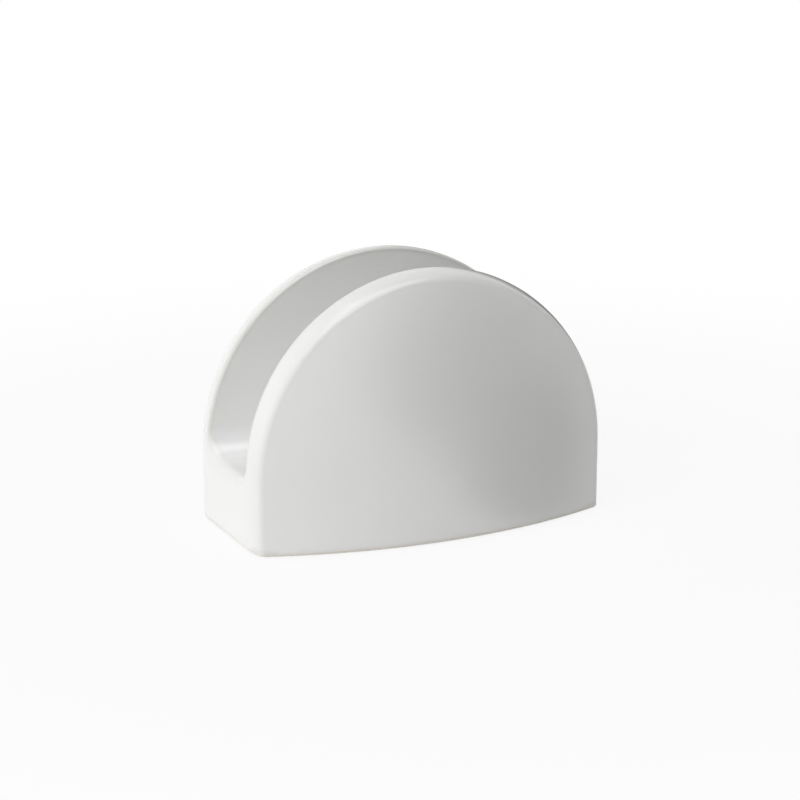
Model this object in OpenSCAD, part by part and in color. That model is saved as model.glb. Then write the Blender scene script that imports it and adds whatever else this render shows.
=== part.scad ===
// Table napkin holder: one porcelain casting with two domed walls on a hollow foot, on four clear pads.
// X runs along the slot, Y from the front wall to the back wall, Z up. The origin is under the
// middle, on the surface that the pads stand on.

/* [Arch] */
// Radius of the arch that both walls follow
arch_r = 60; // [45:1:80]
// Height of the arch's centre above the foot, where the straight ends begin
arch_centre_h = 23; // [18:0.5:40]

/* [Faces] */
// Depth from front to back at the middle of the domed faces
body_depth = 70; // [64:1:84]
// How far each face domes out between the rim and the middle
face_rise = 11.4; // [6:0.2:14]
// How far each rim turns over, in degrees, between the slot's lip and its outer edge
rim_turn = 25; // [10:1:40]
// Rounding of the edge between the rim and the domed face
edge_round = 3; // [2:0.25:4]

/* [Slot] */
// Clear width between the two walls
slot_w = 31.6; // [26:0.2:36]
// Height of the slot's floor above the foot
slot_floor_h = 22.2; // [16:0.2:30]
// Cove where the slot's floor turns up into each wall
cove_r = 5; // [3:0.5:8]
// Rounding of the lip that runs along each wall's slot edge
lip_round = 1.5; // [1:0.1:2]
// Rounding where the slot's floor runs out at each end
sill_round = 3; // [2:0.25:4.5]

/* [Casting] */
// Thickness of the cast skin over the hollow
skin = 4.5; // [3.5:0.25:5.5]
// Corner radius of the hollow, which leaves a broad land at each corner of the foot
hollow_corner_r = 16; // [12:0.5:18]
// Rounding of the foot's outer edge
foot_round = 1; // [0.5:0.1:1.5]

/* [Pads] */
// Diameter of a stick-on pad
pad_d = 5; // [4:0.25:6]
// Thickness of a pad
pad_h = 1.5; // [1.2:0.1:2]
// How far a pad stands out below the foot
pad_stand = 0.5; // [0.3:0.1:0.9]
// Rounding of a pad's lower edge
pad_round = 0.4; // [0.2:0.05:0.5]
// Gap between a pad and the wall of its seat
pad_gap = 0.15; // [0.1:0.05:0.3]

/* [Hidden] */

// Steps along one arc: a rounding, a rim's slow turn, and a domed face
round_steps = 8;
rim_steps = 5;
face_steps = 20;
$fn = 96;
// How far a cutting shape runs past what it cuts
overcut = 2;

foot_z = pad_stand;
arch_z = foot_z + arch_centre_h;
floor_z = foot_z + slot_floor_h;
slot_half = slot_w / 2;
// Radius of a domed face, and how far its centre lies from the middle plane
face_r = (arch_r * arch_r + face_rise * face_rise) / (2 * face_rise);
face_centre = body_depth / 2 - face_r;

// Each rim starts to turn where the lip ends, and its edge rounding is tangent to the domed face.
// The rim's radius is the one length that fits between the two.
rim_start = slot_half + lip_round;
rim_r = let (from = [arch_r - edge_round * cos(rim_turn), rim_start - edge_round * sin(rim_turn) - face_centre],
             way = [cos(rim_turn) - 1, sin(rim_turn)],
             reach = face_r - edge_round,
             half = from * way,
             spare = reach * reach - from * from)
        (sqrt(half * half + (way * way) * spare) - half) / (way * way);
// Middle of the edge rounding
edge_centre = [arch_r - rim_r + (rim_r - edge_round) * cos(rim_turn),
               rim_start + (rim_r - edge_round) * sin(rim_turn)];
// Middle of the hollow's corner, one skin inside the end and the domed face
hollow_centre = let (x = arch_r - skin - hollow_corner_r, reach = face_r - skin - hollow_corner_r)
                [x, face_centre + sqrt(reach * reach - x * x)];

// Points of an arc from angle a to angle b
function arc(cx, cy, r, a, b, steps) =
    [for (i = [0 : steps]) let (t = a + (b - a) * i / steps) [cx + r * cos(t), cy + r * sin(t)]];
function flip_y(points) = [for (i = [len(points) - 1 : -1 : 0]) [points[i][0], -points[i][1]]];
function flip_x(points) = [for (i = [len(points) - 1 : -1 : 0]) [-points[i][0], points[i][1]]];
function after_first(points) = [for (i = [1 : len(points) - 1]) points[i]];
function both_halves(quarter) = concat(flip_y(quarter), quarter);

// One quarter of the outer plan, set in by a distance: the rim, its edge, then the domed face
function quarter(inset) =
    let (turn = atan2(edge_centre[1] - face_centre, edge_centre[0]),
         rim = arc(arch_r - rim_r, rim_start, rim_r - inset, 0, rim_turn, rim_steps),
         edge = arc(edge_centre[0], edge_centre[1], edge_round - inset, rim_turn, turn, round_steps),
         dome = arc(0, face_centre, face_r - inset, turn, 90, face_steps))
    concat(rim, after_first(edge), after_first(dome));

// One quarter of the hollow's plan: its corner, then the inner side of the domed face
function hollow_quarter() =
    let (turn = atan2(hollow_centre[1] - face_centre, hollow_centre[0]),
         corner = arc(hollow_centre[0], hollow_centre[1], hollow_corner_r, 0, turn, round_steps),
         dome = arc(0, face_centre, face_r - skin, turn, 90, face_steps))
    concat(corner, after_first(dome));

// A wall's section between the slot and its domed face, with the lip rounded
function wall_section() =
    concat([[0, slot_half]],
           arc(arch_r - lip_round, rim_start, lip_round, -90, 0, round_steps),
           after_first(quarter(0)));

// Turns a section, drawn as distance from the arch's axis and distance from the middle plane, up
// and over the arch
module over_arch() {
    translate([0, 0, arch_z])
        rotate([90, 0, 0])
            rotate_extrude(angle = 180)
                children();
}

// The same section pulled straight down from the arch's centre to a height z
module straight_down(z) {
    translate([0, 0, z])
        linear_extrude(arch_z - z) {
            children();
            mirror([1, 0])
                children();
        }
}

// A flat shape and its mirror image across the slot's middle
module both_sides() {
    children();
    mirror([0, 1])
        children();
}

// Both walls, over the arch and down to the foot's rounding
module walls() {
    over_arch()
        both_sides()
            polygon(wall_section());
    straight_down(foot_z + foot_round)
        both_sides()
            polygon(wall_section());
}

// The block under the slot, whose top edges roll over at the two ends
module base() {
    top = concat(arc(arch_r - sill_round, floor_z - sill_round, sill_round, 0, 90, round_steps),
                 arc(sill_round - arch_r, floor_z - sill_round, sill_round, 90, 180, round_steps));
    translate([0, rim_start, 0])
        rotate([90, 0, 0])
            linear_extrude(2 * rim_start)
                polygon(concat([[-arch_r, foot_z + foot_round], [arch_r, foot_z + foot_round]], top));
}

// The coves along both sides of the slot's floor, which run out over the sills
module coves() {
    low_z = floor_z - sill_round;
    run_out = cove_r + sill_round;
    cove = concat([[rim_start, low_z], [rim_start, floor_z + cove_r]],
                  arc(slot_half - cove_r, floor_z + cove_r, cove_r, 0, -90, round_steps),
                  [[slot_half - cove_r, low_z]]);
    crown = concat(arc(arch_r - run_out, low_z, run_out, 0, 90, round_steps),
                   arc(run_out - arch_r, low_z, run_out, 90, 180, round_steps));
    intersection() {
        translate([-arch_r, 0, 0])
            rotate([90, 0, 90])
                linear_extrude(2 * arch_r) {
                    polygon(cove);
                    mirror([1, 0])
                        polygon(cove);
                }
        translate([0, rim_start, 0])
            rotate([90, 0, 0])
                linear_extrude(2 * rim_start)
                    polygon(crown);
    }
}

// The foot's rounded outer edge, as a loft of plans that draw in towards the ground
module foot_edge() {
    bend = arc(foot_round, foot_round, foot_round, 270, 180, round_steps / 2);
    loft([for (step = bend)
        let (half = both_halves(quarter(step[0])))
        [for (p = concat(half, flip_x(half))) [p[0], p[1], foot_z + step[1]]]]);
}

module loft(rings) {
    n = len(rings[0]);
    last = len(rings) - 1;
    points = [for (ring = rings) each ring];
    sides = [for (k = [0 : last - 1]) for (i = [0 : n - 1]) let (j = (i + 1) % n)
        each [[k * n + i, (k + 1) * n + i, (k + 1) * n + j], [k * n + i, (k + 1) * n + j, k * n + j]]];
    floor_cap = [for (i = [0 : n - 1]) i];
    roof_cap = [for (i = [n - 1 : -1 : 0]) last * n + i];
    polyhedron(points, concat(sides, [floor_cap, roof_cap]));
}

// The slot with the cast skin round it, which the hollow has to leave standing
module skinned_slot() {
    half = slot_half + skin;
    bend = cove_r + skin;
    low_z = floor_z - skin;
    top_z = arch_z + arch_r;
    translate([-arch_r, 0, 0])
        rotate([90, 0, 90])
            linear_extrude(2 * arch_r)
                polygon(concat([[half, top_z], [-half, top_z]],
                               arc(bend - half, low_z + bend, bend, 180, 270, round_steps),
                               arc(half - bend, low_z + bend, bend, 270, 360, round_steps)));
}

// The hollow that the drained slip leaves: the outer form less one skin, open under the foot
module hollow() {
    plan = both_halves(hollow_quarter());
    difference() {
        union() {
            over_arch()
                polygon(plan);
            straight_down(foot_z - overcut)
                polygon(plan);
        }
        skinned_slot();
    }
}

// Places a pad or its seat on the broad land at one corner of the foot
module at_corner(side_x, side_y) {
    apart = norm(hollow_centre - edge_centre);
    land = apart + edge_round - hollow_corner_r;
    // Middle of the land's flat part, between the foot's rounding and the hollow
    depth = (land + foot_round) / 2;
    place = edge_centre + (hollow_centre - edge_centre) * (depth - edge_round) / apart;
    translate([side_x * place[0], side_y * place[1], 0])
        children();
}

module pad_seats() {
    for (side_x = [-1, 1], side_y = [-1, 1])
        at_corner(side_x, side_y)
            translate([0, 0, foot_z - overcut])
                cylinder(h = overcut + pad_h - pad_stand, d = pad_d + 2 * pad_gap);
}

module body() {
    color("white")
        difference() {
            union() {
                walls();
                base();
                coves();
                foot_edge();
            }
            hollow();
            pad_seats();
        }
}

module pad(side_x, side_y) {
    color("gainsboro")
        at_corner(side_x, side_y)
            rotate_extrude()
                polygon(concat([[0, 0]],
                               arc(pad_d / 2 - pad_round, pad_round, pad_round, -90, 0, round_steps),
                               [[pad_d / 2, pad_h], [0, pad_h]]));
}

body();
pad(-1, -1);  // pad_front_left
pad(1, -1);  // pad_front_right
pad(-1, 1);  // pad_back_left
pad(1, 1);  // pad_back_right
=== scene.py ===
"""Porcelain napkin holder, dressed around its construction frame.

The body is one drained slip casting under a clear glaze. Its skin is a distance field, built as
Geometry Nodes from the holder's own sizes, then meshed and drawn onto the exact surface. The form
trees work in millimetres, and the finished meshes are in metres.
"""
import functools
import math

import bpy
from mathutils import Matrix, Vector


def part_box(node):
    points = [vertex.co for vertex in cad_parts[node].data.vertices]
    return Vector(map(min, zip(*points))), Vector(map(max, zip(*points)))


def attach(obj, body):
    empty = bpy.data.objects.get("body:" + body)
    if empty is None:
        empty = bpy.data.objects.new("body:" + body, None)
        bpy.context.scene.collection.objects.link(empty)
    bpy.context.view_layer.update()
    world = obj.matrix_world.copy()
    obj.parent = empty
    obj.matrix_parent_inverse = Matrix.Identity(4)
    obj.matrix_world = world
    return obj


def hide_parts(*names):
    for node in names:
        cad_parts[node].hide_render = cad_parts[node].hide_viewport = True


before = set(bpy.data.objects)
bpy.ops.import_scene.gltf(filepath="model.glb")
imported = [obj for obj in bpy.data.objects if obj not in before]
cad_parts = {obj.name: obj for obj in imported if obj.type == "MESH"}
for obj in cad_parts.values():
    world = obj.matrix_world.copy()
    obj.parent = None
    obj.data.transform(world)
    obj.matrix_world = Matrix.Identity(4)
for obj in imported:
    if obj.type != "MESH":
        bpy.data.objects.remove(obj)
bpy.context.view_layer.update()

MM = 0.001

# The casting's sizes in millimetres, with heights above the ground. The cove and the lip follow the
# photograph, the soft edges of the hollow and of the pad seats are only here, and the rest is as the
# construction has it.
FORM = {
    "Arch radius": 60.0,
    "Arch centre height": 23.5,
    "Depth at the middle": 70.0,
    "Rise of a domed face": 11.4,
    "Rim turn in degrees": 25.0,
    "Rim radius": 13.955,
    "Edge rounding": 3.0,
    "Slot width": 31.6,
    "Slot floor height": 22.7,
    "Cove radius": 8.0,
    "Start of the rim's turn": 17.3,
    "Lip rounding": 1.0,
    "Sill rounding": 3.0,
    "Cast skin": 4.5,
    "Hollow corner radius": 16.0,
    "Hollow crease rounding": 2.0,
    "Foot height": 0.5,
    "Foot rounding": 1.0,
    "Hollow edge rounding": 0.8,
    "Pad seat X": 54.804,
    "Pad seat Y": 21.008,
    "Pad seat radius": 2.65,
    "Pad seat depth": 1.0,
    "Pad seat rounding": 0.3,
}
# In millimetres: grid spacing of the field, the empty border round it, and the steps that measure the
# field's slope and its bends
VOXEL = 0.5
BORDER = 2.0
SLOPE_PROBE = 0.2
BEND_PROBE = 1.5
# How far the mesh may coarsen where the skin is nearly flat, and how often its points are evened out
COARSENING = 0.003
EVENING_ROUNDS = 3

# Rounding of a stick-on pad's lower and upper edge in millimetres, then how many sides the pad has and
# how many steps each rounding
PAD_EDGE = 0.4
PAD_TOP_EDGE = 0.15
PAD_TURNS = 64
PAD_BEND_STEPS = 6

# The photograph's view: direction in degrees and distance in metres of the camera from the point it
# looks at, with the lens and the width of the sensor in millimetres
VIEW_AZIMUTH = -25.184
VIEW_ELEVATION = 15.566
VIEW_DISTANCE = 0.764
VIEW_TARGET = (-0.000528, 0.0, 0.03722)
LENS = 108.25
SENSOR_WIDTH = 36.0


def colour(hex_code):
    """An sRGB hex value as linear red, green, blue and alpha."""
    parts = [int(hex_code[i:i + 2], 16) / 255 for i in (0, 2, 4)]
    linear = [c / 12.92 if c <= 0.04045 else ((c + 0.055) / 1.055) ** 2.4 for c in parts]
    return (*linear, 1.0)


def add(tree, kind, links=(), **settings):
    """Adds a node with its settings. links maps an input to a socket, a field or a value."""
    node = tree.nodes.new(kind)
    for key, value in settings.items():
        setattr(node, key, value)
    for key, value in dict(links).items():
        value = getattr(value, "socket", value)
        socket = node.inputs[key]
        if isinstance(value, bpy.types.NodeSocket):
            tree.links.new(value, socket)
        else:
            socket.default_value = value
    return node


class Field:
    """A number that varies from point to point. Arithmetic on fields becomes nodes in their tree."""

    def __init__(self, tree, socket):
        self.tree = tree
        self.socket = socket

    def math(self, operation, *others):
        node = add(self.tree, "ShaderNodeMath", enumerate((self, *others)), operation=operation)
        return Field(self.tree, node.outputs[0])

    def __add__(self, other):
        return self.math("ADD", other)

    def __sub__(self, other):
        return self.math("SUBTRACT", other)

    def __rsub__(self, other):
        return (-self) + other

    def __mul__(self, other):
        return self.math("MULTIPLY", other)

    def __truediv__(self, other):
        return self.math("DIVIDE", other)

    def __neg__(self):
        return self.math("MULTIPLY", -1.0)

    def __abs__(self):
        return self.math("ABSOLUTE")

    def at_least(self, other):
        return self.math("MAXIMUM", other)

    def at_most(self, other):
        return self.math("MINIMUM", other)


def across(a, b):
    """Length of the two sides' diagonal."""
    return (a * a + b * b).math("SQRT")


def both(a, b, radius):
    """The solid inside both fields, with their shared edge rounded."""
    corner = across((a + radius).at_least(0.0), (b + radius).at_least(0.0))
    return a.at_least(b).at_most(-radius) + corner


def either(a, b, radius):
    """The solid inside either field, with a cove where they meet."""
    cove = across((radius - a).at_least(0.0), (radius - b).at_least(0.0))
    return a.at_most(b).at_least(radius) - cove


def new_group(name, first_input, kind, outputs):
    """A node group with one leading input, the casting's sizes and its outputs."""
    group = bpy.data.node_groups.new(name, "GeometryNodeTree")
    group.interface.new_socket(first_input, in_out="INPUT", socket_type=kind)
    for size, value in FORM.items():
        socket = group.interface.new_socket(size, in_out="INPUT", socket_type="NodeSocketFloat")
        socket.default_value = value
    for output, output_kind in outputs.items():
        group.interface.new_socket(output, in_out="OUTPUT", socket_type=output_kind)
    return group, add(group, "NodeGroupInput").outputs


def form_at(tree, given, group, point):
    """What one of the form's groups gives at a point, with the tree's own sizes handed on."""
    sizes = {name: given[name] for name in FORM}
    return add(tree, "GeometryNodeGroup", {"Point": point, **sizes}, node_tree=group).outputs


def turned_rim(rho, depth, size):
    """Outside of a rim that leaves the slot's lip level, then turns over towards the domed face."""
    radius = size["Rim radius"]
    across_rim = rho - size["Arch radius"] + radius
    along_rim = depth - size["Start of the rim's turn"]
    full_turn = size["Rim turn in degrees"] * (math.pi / 180)
    turn = along_rim.math("ARCTAN2", across_rim).at_least(0.0).at_most(full_turn)
    rim = across_rim * turn.math("COSINE") + along_rim * turn.math("SINE") - radius
    return rim, (full_turn.math("COSINE"), full_turn.math("SINE"))


def domed(rho, depth, size, inset, corner, rim, rim_way, corner_rho):
    """The inside of a rim and of the domed faces, turned over the arch, with the edge rounded."""
    radius, rise = size["Arch radius"], size["Rise of a domed face"]
    face_radius = (radius * radius + rise * rise) / (rise * 2.0)
    face_centre = size["Depth at the middle"] / 2.0 - face_radius
    dome = across(rho, depth - face_centre) - face_radius + inset
    # The rounding touches both the rim and the dome, between the directions to those two points
    reach = face_radius - inset - corner
    corner_rise = (reach * reach - corner_rho * corner_rho).math("SQRT")
    from_rho = rho - corner_rho
    from_depth = depth - face_centre - corner_rise
    past_rim = (from_depth * rim_way[0] - from_rho * rim_way[1]).math("GREATER_THAN", 0.0)
    before_dome = (corner_rise * from_rho - corner_rho * from_depth).math("GREATER_THAN", 0.0)
    at_corner = past_rim * before_dome
    rounded = across(from_rho, from_depth) - corner
    return at_corner * rounded + (1.0 - at_corner) * rim.at_least(dome)


def casting_distance():
    """Group: the distance from a point to the casting's skin, negative in the porcelain."""
    group, given = new_group("casting_distance", "Point", "NodeSocketVector", {
        "Distance": "NodeSocketFloat", "Into hollow": "NodeSocketFloat"})
    size = {name: Field(group, given[name]) for name in FORM}
    place = add(group, "ShaderNodeSeparateXYZ", {0: given["Point"]}).outputs
    x, y, z = (Field(group, place[i]) for i in range(3))
    depth = abs(y)
    rho = across(x, (z - size["Arch centre height"]).at_least(0.0))
    arch_radius, rim_radius, edge = size["Arch radius"], size["Rim radius"], size["Edge rounding"]
    rim, rim_way = turned_rim(rho, depth, size)
    outside = domed(rho, depth, size, 0.0, edge, rim, rim_way,
                    arch_radius - rim_radius + (rim_radius - edge) * rim_way[0])
    # The slot's walls and floor, coved together and rolled over at the rim: tight along the lips,
    # wider where the floor runs out over the sills
    slot_half = size["Slot width"] / 2.0
    above_floor = z - size["Slot floor height"]
    slot = either(slot_half - depth, above_floor, size["Cove radius"])
    roll = add(group, "ShaderNodeMapRange", {
        "Value": above_floor, "From Min": 0.0, "From Max": size["Cove radius"],
        "To Min": size["Sill rounding"], "To Max": size["Lip rounding"]},
        interpolation_type="SMOOTHSTEP")
    ends = both(rho - arch_radius, slot, Field(group, roll.outputs[0]))
    footed = both(outside.at_least(ends), size["Foot height"] - z, size["Foot rounding"])
    # The drained hollow lies one skin in from the outer form and from the slot
    skin = size["Cast skin"]
    hollow_corner = size["Hollow corner radius"]
    inside = domed(rho, depth, size, skin, hollow_corner, rho - arch_radius + skin, (1.0, 0.0),
                   arch_radius - skin - hollow_corner)
    channel = both(depth - slot_half - skin, size["Slot floor height"] - skin - z,
                   size["Cove radius"] + skin)
    hollow = both(inside, -channel, size["Hollow crease rounding"])
    drained = both(footed, -hollow, size["Hollow edge rounding"])
    from_seat = across(abs(x) - size["Pad seat X"], depth - size["Pad seat Y"])
    above_seat = z - size["Foot height"] - size["Pad seat depth"]
    seat = (from_seat - size["Pad seat radius"]).at_least(above_seat)
    body = both(drained, -seat, size["Pad seat rounding"])
    add(group, "NodeGroupOutput", {0: body, 1: hollow})
    return group


def casting_slope(distance_group):
    """Group: distance, outward direction and curvature of the skin at a point."""
    group, given = new_group("casting_slope", "Point", "NodeSocketVector", {
        "Distance": "NodeSocketFloat", "Outward": "NodeSocketVector", "Curvature": "NodeSocketFloat",
        "Into hollow": "NodeSocketFloat"})

    def either_side(axis, reach):
        """The distances from a short reach ahead of the point and behind it, along one axis."""
        step = [reach if i == axis else 0.0 for i in range(3)]
        points = [add(group, "ShaderNodeVectorMath", {0: given["Point"], 1: step}, operation=way)
                  for way in ("ADD", "SUBTRACT")]
        return [Field(group, form_at(group, given, distance_group, point.outputs[0])["Distance"])
                for point in points]

    here = form_at(group, given, distance_group, given["Point"])
    middle = Field(group, here["Distance"])
    slopes, bends = [], []
    for axis in range(3):
        ahead, behind = either_side(axis, SLOPE_PROBE)
        slopes.append(ahead - behind)
        # The wider step blurs the bends, so that the painted light in the coves and the painted shade
        # on the lips fade in softly, as glaze runs soft over them
        ahead, behind = either_side(axis, BEND_PROBE)
        bends.append(ahead + behind - middle * 2.0)
    slope = add(group, "ShaderNodeCombineXYZ", enumerate(slopes))
    outward = add(group, "ShaderNodeVectorMath", {0: slope.outputs[0]}, operation="NORMALIZE")
    curvature = (bends[0] + bends[1] + bends[2]) / (BEND_PROBE * BEND_PROBE)
    add(group, "NodeGroupOutput", {
        0: middle, 1: outward.outputs[0], 2: curvature, 3: here["Into hollow"]})
    return group


def slip_casting():
    """Tree of the whole form: field, mesh, three steps onto the exact surface, and its finish."""
    tree, given = new_group("slip_casting", "Geometry", "NodeSocketGeometry",
                            {"Geometry": "NodeSocketGeometry"})
    tree.interface.new_socket("Finish", in_out="INPUT", socket_type="NodeSocketMaterial")
    distance_group = casting_distance()
    slope_group = casting_slope(distance_group)
    place = add(tree, "GeometryNodeInputPosition").outputs[0]

    def drawn_on(mesh, point):
        """The mesh with its points moved to the surface, each by its own distance from it."""
        at = form_at(tree, given, slope_group, point)
        step = add(tree, "ShaderNodeVectorMath", {0: at["Outward"], "Scale": at["Distance"]},
                   operation="SCALE")
        moved = add(tree, "ShaderNodeVectorMath", {0: point, 1: step.outputs[0]}, operation="SUBTRACT")
        node = add(tree, "GeometryNodeSetPosition", {"Geometry": mesh, "Position": moved.outputs[0]})
        return node.outputs[0]

    def stored(mesh, name, kind, value):
        """The mesh with a value stored on its points, for the shading and the finish."""
        node = add(tree, "GeometryNodeStoreNamedAttribute", {"Geometry": mesh, "Name": name},
                   data_type=kind, domain="POINT")
        tree.links.new(value, next(s for s in node.inputs if s.name == "Value" and s.enabled))
        return node.outputs[0]

    reach = (FORM["Arch radius"], FORM["Depth at the middle"] / 2.0)
    low = [-reach[0] - BORDER, -reach[1] - BORDER, -BORDER]
    high = [reach[0] + BORDER, reach[1] + BORDER, FORM["Arch centre height"] + reach[0] + BORDER]
    counts = [round((b - a) / VOXEL) + 1 for a, b in zip(low, high)]
    inward = -Field(tree, form_at(tree, given, distance_group, place)["Distance"])
    voxels = add(tree, "GeometryNodeVolumeCube", {
        "Density": inward, "Background": -BORDER, "Min": low, "Max": high,
        "Resolution X": counts[0], "Resolution Y": counts[1], "Resolution Z": counts[2]})
    mesh = add(tree, "GeometryNodeVolumeToMesh", {
        "Volume": voxels.outputs[0], "Threshold": 0.0, "Adaptivity": COARSENING}).outputs[0]
    # A blur after the first of the steps evens out the mesh
    even = add(tree, "GeometryNodeBlurAttribute", {"Iterations": EVENING_ROUNDS},
               data_type="FLOAT_VECTOR")
    tree.links.new(place, next(s for s in even.inputs if s.name == "Value" and s.enabled))
    mesh = drawn_on(mesh, place)
    mesh = drawn_on(mesh, next(s for s in even.outputs if s.enabled))
    mesh = drawn_on(mesh, place)
    at = form_at(tree, given, slope_group, place)
    mesh = stored(mesh, "outward", "FLOAT_VECTOR", at["Outward"])
    mesh = stored(mesh, "curvature", "FLOAT", at["Curvature"])
    mesh = stored(mesh, "into_hollow", "FLOAT", at["Into hollow"])
    metres = add(tree, "GeometryNodeTransform", {"Geometry": mesh, "Scale": (MM, MM, MM)})
    smooth = add(tree, "GeometryNodeSetShadeSmooth", {"Geometry": metres.outputs[0]})
    real = add(tree, "GeometryNodeRealizeInstances", {0: smooth.outputs[0]})
    faced = add(tree, "GeometryNodeSetMaterial",
                {"Geometry": real.outputs[0], "Material": given["Finish"]})
    add(tree, "NodeGroupOutput", {0: faced.outputs[0]})
    return tree


def porcelain_body(finish):
    """The casting as a plain mesh, shaded by its field's own directions."""
    body = bpy.data.objects.new("porcelain_body", bpy.data.meshes.new("porcelain_body"))
    bpy.context.scene.collection.objects.link(body)
    tree = slip_casting()
    modifier = body.modifiers.new("slip_casting", "NODES")
    modifier.node_group = tree
    chosen = {**FORM, "Finish": finish}
    for item in tree.interface.items_tree:
        if item.in_out == "INPUT" and item.name in chosen:
            modifier[item.identifier] = chosen[item.name]
    graph = bpy.context.evaluated_depsgraph_get()
    mesh = bpy.data.meshes.new_from_object(body.evaluated_get(graph), depsgraph=graph)
    body.modifiers.remove(modifier)
    body.data = mesh
    outward = [Vector(item.vector) for item in mesh.attributes["outward"].data]
    mesh.attributes.remove(mesh.attributes["outward"])
    mesh.normals_split_custom_set_from_vertices(outward)
    return body


def pad(node, finish):
    """A clear pad turned from its section, with soft edges, where its node lies."""
    low, high = (Vector(corner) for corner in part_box(node))
    middle = (low + high) / 2
    radius = (high.x - low.x) / 2
    # Each end's height, its rounding, which is negative where it lies below that, and its first angle
    bends = ((low.z, PAD_EDGE * MM, -90), (high.z, -PAD_TOP_EDGE * MM, 0))
    section = []
    for end, edge, start in bends:
        for i in range(PAD_BEND_STEPS + 1):
            turn = math.radians(start + 90 * i / PAD_BEND_STEPS)
            section.append((radius - abs(edge) + abs(edge) * math.cos(turn),
                            end + edge + abs(edge) * math.sin(turn)))
    points = []
    for reach, height in section:
        for i in range(PAD_TURNS):
            turn = 2 * math.pi * i / PAD_TURNS
            points.append((middle.x + reach * math.cos(turn),
                           middle.y + reach * math.sin(turn), height))
    faces = [list(range(PAD_TURNS))[::-1],
             [(len(section) - 1) * PAD_TURNS + i for i in range(PAD_TURNS)]]
    for ring in range(len(section) - 1):
        for i in range(PAD_TURNS):
            j = (i + 1) % PAD_TURNS
            first, second = ring * PAD_TURNS, (ring + 1) * PAD_TURNS
            faces.append([first + i, first + j, second + j, second + i])
    mesh = bpy.data.meshes.new("silicone_" + node)
    mesh.from_pydata(points, [], faces)
    mesh.polygons.foreach_set("use_smooth", [len(face) == 4 for face in faces])
    mesh.materials.append(finish)
    piece = bpy.data.objects.new("silicone_" + node, mesh)
    bpy.context.scene.collection.objects.link(piece)
    return piece


# The finish colours as sRGB hex: the porcelain under its glaze, painted light in the coves where the
# glaze pools, painted shade on the lips where it draws thin, a pinhole, the bare clay of the foot, and
# the silicone of the pads, clean and dusty
GLAZE_WHITE = "EFEFEE"
POOLED_GLAZE_AND_PAINTED_LIGHT = "F6F8F8"
THIN_GLAZE_AND_PAINTED_SHADE = "DFDEDA"
PINHOLE_SHADE = "A8A49C"
BARE_CLAY = "ECE8DF"
SILICONE = "E6EAEB"
SILICONE_DUSTY = "D9DCDB"

# Firing and glazing marks in millimetres: the width and depth of the glaze's slow waves, of its fine
# ripple and of the bare clay's grain, and the spacing, radius and depth of the glaze's pinholes. The
# pinholes are drawn about twice as wide as real ones and the grain several times as coarse, so that
# they show at all.
WAVE_WIDTH, WAVE_DEPTH = 22.0, 0.035
RIPPLE_WIDTH, RIPPLE_DEPTH = 3.0, 0.0025
GRAIN_WIDTH, GRAIN_DEPTH = 0.5, 0.012
PINHOLE_SPACING, PINHOLE_RADIUS, PINHOLE_DEPTH = 13.0, 0.3, 0.05
# Which share of the places so spaced has a pinhole, and how strongly its shade shows
PINHOLE_SHARE, PINHOLE_STRENGTH = 0.16, 0.5
# In millimetres: how high the foot is wiped above the ground, how far that line wanders and how soft
# it is, then how far the bare clay reaches past the hollow, and how soft that edge is
WIPED_HEIGHT, WIPED_WANDER, WIPED_SOFTNESS = 1.5, 0.5, 0.35
HOLLOW_REACH, HOLLOW_SOFTNESS = 0.8, 0.6
# Radius in millimetres of a hollow bend that gets the full painted light of the coves, where the glaze
# pools, and of a lip that gets the full painted shade, where the glaze draws thin
PAINTED_LIGHT_BEND, PAINTED_SHADE_BEND = 3.0, 1.2

# Roughness of the body under its glaze, what the ripple and the bare clay add to it, and the glaze's
# own, then how strongly the body and the glaze refract
PORCELAIN_ROUGHNESS, RIPPLE_ROUGHNESS, BARE_ROUGHNESS = 0.3, 0.06, 0.5
GLAZE_ROUGHNESS = 0.2
PORCELAIN_IOR, GLAZE_IOR = 1.5, 1.6
# Roughness of the silicone, what its dust adds to it, and the width of the dust's patches in
# millimetres
SILICONE_ROUGHNESS, DUST_ROUGHNESS, DUST_WIDTH = 0.25, 0.2, 0.8
# How strongly the silicone refracts, and how much of the light it lets through
SILICONE_IOR, SILICONE_CLEARNESS = 1.41, 0.6


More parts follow.
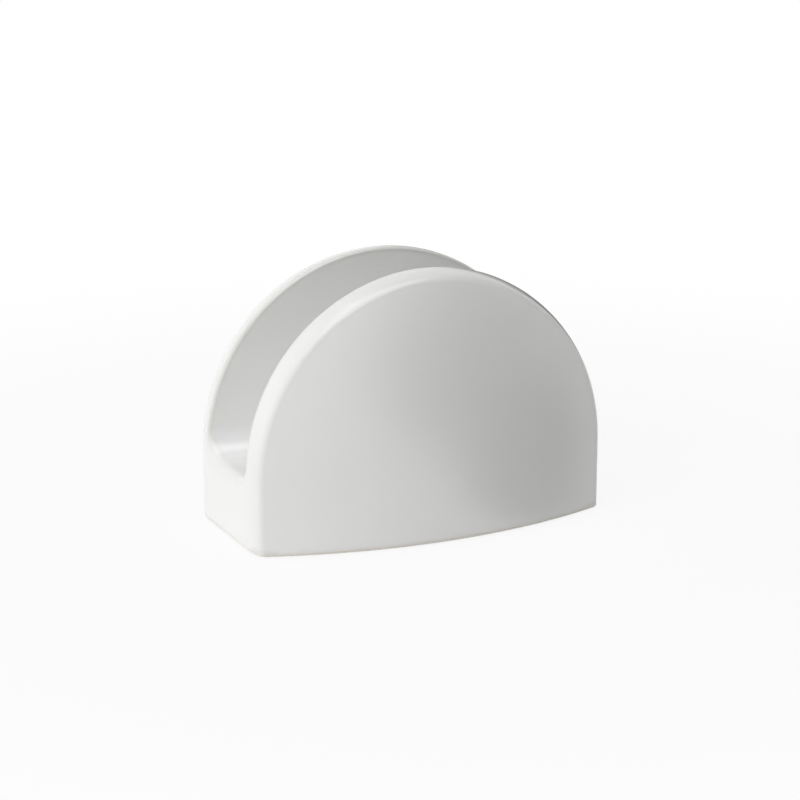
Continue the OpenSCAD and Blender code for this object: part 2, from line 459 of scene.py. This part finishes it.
def glazed_porcelain():
    """White porcelain, slip cast, dipped in clear glaze, its foot and hollow left bare, and fired."""
    # The eye gets an even cool white under a soft clear gloss that wavers a little over the broad
    # faces, a trace lighter in the coves, which is painted light with the pooled glaze's tint, and
    # greyer over the lips, which is painted shade where the glaze draws thin, with a few pinholes, and
    # a dry creamy foot below.
    mat = bpy.data.materials.new("glazed_porcelain")
    mat.use_nodes = True
    tree = mat.node_tree
    shader = tree.nodes["Principled BSDF"]
    place = add(tree, "ShaderNodeTexCoord").outputs["Object"]
    height = Field(tree, add(tree, "ShaderNodeSeparateXYZ", {0: place}).outputs[2]) / MM
    curvature, into_hollow = (
        Field(tree, add(tree, "ShaderNodeAttribute", attribute_name=name).outputs["Fac"])
        for name in ("curvature", "into_hollow"))

    # Each pattern's width, with how many finer layers of noise lie in it
    waves, ripple, grain = (
        Field(tree, add(tree, "ShaderNodeTexNoise", {
            "Vector": place, "Scale": 1 / (width * MM), "Detail": layers}).outputs["Fac"])
        for width, layers in ((WAVE_WIDTH, 1.0), (RIPPLE_WIDTH, 2.0), (GRAIN_WIDTH, 3.0)))
    cells = add(tree, "ShaderNodeTexVoronoi", {"Vector": place, "Scale": 1 / (PINHOLE_SPACING * MM)})
    chosen = add(tree, "ShaderNodeSeparateColor", {0: cells.outputs["Color"]}).outputs[0]
    has_pinhole = Field(tree, chosen).math("LESS_THAN", PINHOLE_SHARE)
    from_pinhole = Field(tree, cells.outputs["Distance"]) * PINHOLE_SPACING
    pinhole = (1.0 - from_pinhole / PINHOLE_RADIUS).at_least(0.0) * has_pinhole

    # 1 where the clay is bare: below a line that wanders round the foot, and all through the hollow
    line = (waves - 0.5) * (2.0 * WIPED_WANDER) + WIPED_HEIGHT
    wiped = ((line - height) / WIPED_SOFTNESS + 0.5).at_least(0.0).at_most(1.0)
    inside = ((HOLLOW_REACH - into_hollow) / HOLLOW_SOFTNESS).at_least(0.0).at_most(1.0)
    bare = wiped.at_least(inside)
    glazed = 1.0 - bare
    # Painted light in the hollows of the form, where the glaze also pools, and painted shade over its
    # lips, where it draws thin
    painted_cove_light = (curvature * -PAINTED_LIGHT_BEND).at_least(0.0).at_most(1.0)
    # Painted shade: greyer over the lips, which tones down the light along their edges
    painted_lip_shade = (curvature * PAINTED_SHADE_BEND).at_least(0.0).at_most(1.0)

    # A Mix node's colour sockets are 6 and 7 in and 2 out
    tint = colour(GLAZE_WHITE)
    # The first two shades are painted light and shade: lighter in the coves and greyer over the lips
    shades = ((painted_cove_light, POOLED_GLAZE_AND_PAINTED_LIGHT), (painted_lip_shade, THIN_GLAZE_AND_PAINTED_SHADE), (pinhole * PINHOLE_STRENGTH, PINHOLE_SHADE),
              (bare, BARE_CLAY))
    for amount, other in shades:
        mix = add(tree, "ShaderNodeMix", {0: amount, 6: tint, 7: colour(other)}, data_type="RGBA")
        tint = mix.outputs[2]
    tree.links.new(tint, shader.inputs["Base Color"])

    relief = (waves * WAVE_DEPTH + ripple * RIPPLE_DEPTH - pinhole * PINHOLE_DEPTH) * glazed
    relief = relief + grain * bare * GRAIN_DEPTH
    bump = add(tree, "ShaderNodeBump", {"Height": relief, "Distance": MM})
    tree.links.new(bump.outputs[0], shader.inputs["Normal"])
    tree.links.new(bump.outputs[0], shader.inputs["Coat Normal"])
    roughness = bare * BARE_ROUGHNESS + ripple * RIPPLE_ROUGHNESS + PORCELAIN_ROUGHNESS
    tree.links.new(roughness.socket, shader.inputs["Roughness"])
    tree.links.new(glazed.socket, shader.inputs["Coat Weight"])
    shader.inputs["IOR"].default_value = PORCELAIN_IOR
    shader.inputs["Coat Roughness"].default_value = GLAZE_ROUGHNESS
    shader.inputs["Coat IOR"].default_value = GLAZE_IOR
    return mat


def clear_silicone():
    """Clear silicone, moulded: slightly milky, with a soft satin skin that gathers a little dust."""
    # The eye gets a dim grey gap with a soft glint under the corners of the foot.
    mat = bpy.data.materials.new("clear_silicone")
    mat.use_nodes = True
    tree = mat.node_tree
    shader = tree.nodes["Principled BSDF"]
    place = add(tree, "ShaderNodeTexCoord").outputs["Object"]
    dust = Field(tree, add(tree, "ShaderNodeTexNoise", {
        "Vector": place, "Scale": 1 / (DUST_WIDTH * MM), "Detail": 4.0}).outputs["Fac"])
    tint = add(tree, "ShaderNodeMix", {
        0: dust, 6: colour(SILICONE), 7: colour(SILICONE_DUSTY)}, data_type="RGBA")
    tree.links.new(tint.outputs[2], shader.inputs["Base Color"])
    roughness = dust * DUST_ROUGHNESS + SILICONE_ROUGHNESS
    tree.links.new(roughness.socket, shader.inputs["Roughness"])
    shader.inputs["IOR"].default_value = SILICONE_IOR
    shader.inputs["Transmission Weight"].default_value = SILICONE_CLEARNESS
    return mat


def direction(azimuth, elevation):
    """The way from the holder at an azimuth, which is 0 in front of it, and an elevation."""
    a, e = math.radians(azimuth), math.radians(elevation)
    return Vector((math.sin(a) * math.cos(e), -math.cos(a) * math.cos(e), math.sin(e)))


def facing_holder(name, data, azimuth, elevation, distance):
    """A camera or a lamp in the scene, which faces the holder from a distance."""
    piece = bpy.data.objects.new(name, data)
    bpy.context.scene.collection.objects.link(piece)
    target = Vector(VIEW_TARGET)
    piece.location = target + direction(azimuth, elevation) * distance
    piece.rotation_euler = (target - piece.location).to_track_quat("-Z", "Y").to_euler()
    return piece


def camera():
    """The camera at the photograph's view."""
    data = bpy.data.cameras.new("camera")
    data.lens = LENS
    data.sensor_width = SENSOR_WIDTH
    bpy.context.scene.camera = facing_holder(
        "camera", data, VIEW_AZIMUTH, VIEW_ELEVATION, VIEW_DISTANCE)


# Soft boxes: azimuth and elevation of each in degrees, its distance and side in metres, its strength
# in watts, and whether the glaze mirrors it
SOFT_BOXES = {
    "left_box": (-64.0, 14.0, 1.2, 1.1, 8.5, False),
    "side_box": (-90.0, 40.0, 1.2, 0.9, 1.6, False),
    "top_box": (-35.0, 74.0, 1.2, 1.3, 7.3, True),
    "back_box": (-135.0, 10.0, 1.2, 0.9, 4.2, False),
    "right_box": (110.0, 40.0, 1.2, 1.0, 2.3, False),
}
# The even light that comes from all round
ROOM_LIGHT = 0.02
# The unlit side of the studio, which the glaze shows as a dusky patch on the front wall and a dark
# line along its upper right edge: azimuth and elevation of each of its soft rounds as the holder sees
# them, and how far from there it starts to fade and is gone, all in degrees
UNLIT_SIDE = ((29.0, 5.0, 9.0, 28.0), (41.0, -15.0, 10.0, 26.0), (137.0, 1.0, 8.0, 23.0))
# The floor's colour, roughness and side in metres
FLOOR_WHITE = "F4F4F4"
FLOOR_ROUGHNESS = 0.6
FLOOR_SIDE = 6.0
# How much of the floor's own shading, and so of the shadow on it, is seen near the holder, and the
# distances in metres between which that fades to plain white
FLOOR_SHADE = 0.12
SHADE_NEAR, SHADE_FAR = 0.1, 0.4


def soft_box(name, azimuth, elevation, distance, side, watts, mirrored):
    """A square lamp that faces the holder."""
    data = bpy.data.lights.new(name, "AREA")
    data.shape = "SQUARE"
    data.size = side
    data.energy = watts
    facing_holder(name, data, azimuth, elevation, distance).visible_glossy = mirrored


def studio_white(tree, way):
    """How white the camera, a reflection or a clear piece sees the studio, and a switch for them."""
    path = add(tree, "ShaderNodeLightPath").outputs
    rounds = []
    for azimuth, elevation, fades, gone in UNLIT_SIDE:
        towards = add(tree, "ShaderNodeVectorMath", {0: way, 1: direction(azimuth, elevation)},
                      operation="DOT_PRODUCT").outputs["Value"]
        dark = add(tree, "ShaderNodeMapRange", {
            "Value": towards, "From Min": math.cos(math.radians(gone)),
            "From Max": math.cos(math.radians(fades))}, interpolation_type="SMOOTHSTEP")
        rounds.append(Field(tree, dark.outputs[0]))
    unlit = functools.reduce(Field.at_least, rounds)
    gloss = Field(tree, path["Is Glossy Ray"])
    seen = gloss.at_least(Field(tree, path["Is Camera Ray"]))
    return 1.0 - unlit * gloss, seen.at_least(Field(tree, path["Is Transmission Ray"]))


def room():
    """A dim even room, white where the camera or a reflection sees it, but for its unlit side."""
    world = bpy.data.worlds.new("room")
    world.use_nodes = True
    bpy.context.scene.world = world
    tree = world.node_tree
    white, seen = studio_white(tree, add(tree, "ShaderNodeTexCoord").outputs["Generated"])
    strength = add(tree, "ShaderNodeMix", {0: seen, "A": ROOM_LIGHT, "B": white})
    tree.links.new(strength.outputs[0], tree.nodes["Background"].inputs["Strength"])
    tree.nodes["Background"].inputs["Color"].default_value = (1.0, 1.0, 1.0, 1.0)


def floor():
    """A white table that keeps a soft shadow near the holder."""
    half = FLOOR_SIDE / 2
    corners = [(-half, -half, 0), (half, -half, 0), (half, half, 0), (-half, half, 0)]
    mesh = bpy.data.meshes.new("floor")
    mesh.from_pydata(corners, [], [(0, 1, 2, 3)])
    mat = bpy.data.materials.new("white_table")
    mat.use_nodes = True
    tree = mat.node_tree
    shader = tree.nodes["Principled BSDF"]
    shader.inputs["Base Color"].default_value = colour(FLOOR_WHITE)
    shader.inputs["Roughness"].default_value = FLOOR_ROUGHNESS
    place = add(tree, "ShaderNodeTexCoord").outputs["Object"]
    # The floor carries the part of the unlit side that lies below the horizon
    from_holder = add(tree, "ShaderNodeVectorMath", {0: place, 1: VIEW_TARGET}, operation="SUBTRACT")
    way = add(tree, "ShaderNodeVectorMath", {0: from_holder.outputs[0]}, operation="NORMALIZE")
    white, seen = studio_white(tree, way.outputs[0])
    distance = add(tree, "ShaderNodeVectorMath", {0: place}, operation="LENGTH").outputs["Value"]
    plain = add(tree, "ShaderNodeMapRange", {
        "Value": distance, "From Min": SHADE_NEAR, "From Max": SHADE_FAR},
        interpolation_type="SMOOTHSTEP")
    shade = (1.0 - Field(tree, plain.outputs[0])) * FLOOR_SHADE
    glow = add(tree, "ShaderNodeEmission", {"Strength": white})
    mixed = add(tree, "ShaderNodeMixShader", {
        0: seen * (1.0 - shade), 1: shader.outputs[0], 2: glow.outputs[0]})
    tree.links.new(mixed.outputs[0], tree.nodes["Material Output"].inputs["Surface"])
    mesh.materials.append(mat)
    piece = bpy.data.objects.new("floor", mesh)
    bpy.context.scene.collection.objects.link(piece)


bpy.context.scene.view_settings.view_transform = "Standard"
camera()
room()
floor()
for name, values in SOFT_BOXES.items():
    soft_box(name, *values)

body = porcelain_body(glazed_porcelain())
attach(body, "root")
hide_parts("body")

silicone = clear_silicone()
for node in ("pad_front_left", "pad_front_right", "pad_back_left", "pad_back_right"):
    piece = pad(node, silicone)
    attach(piece, "root")
    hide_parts(node)
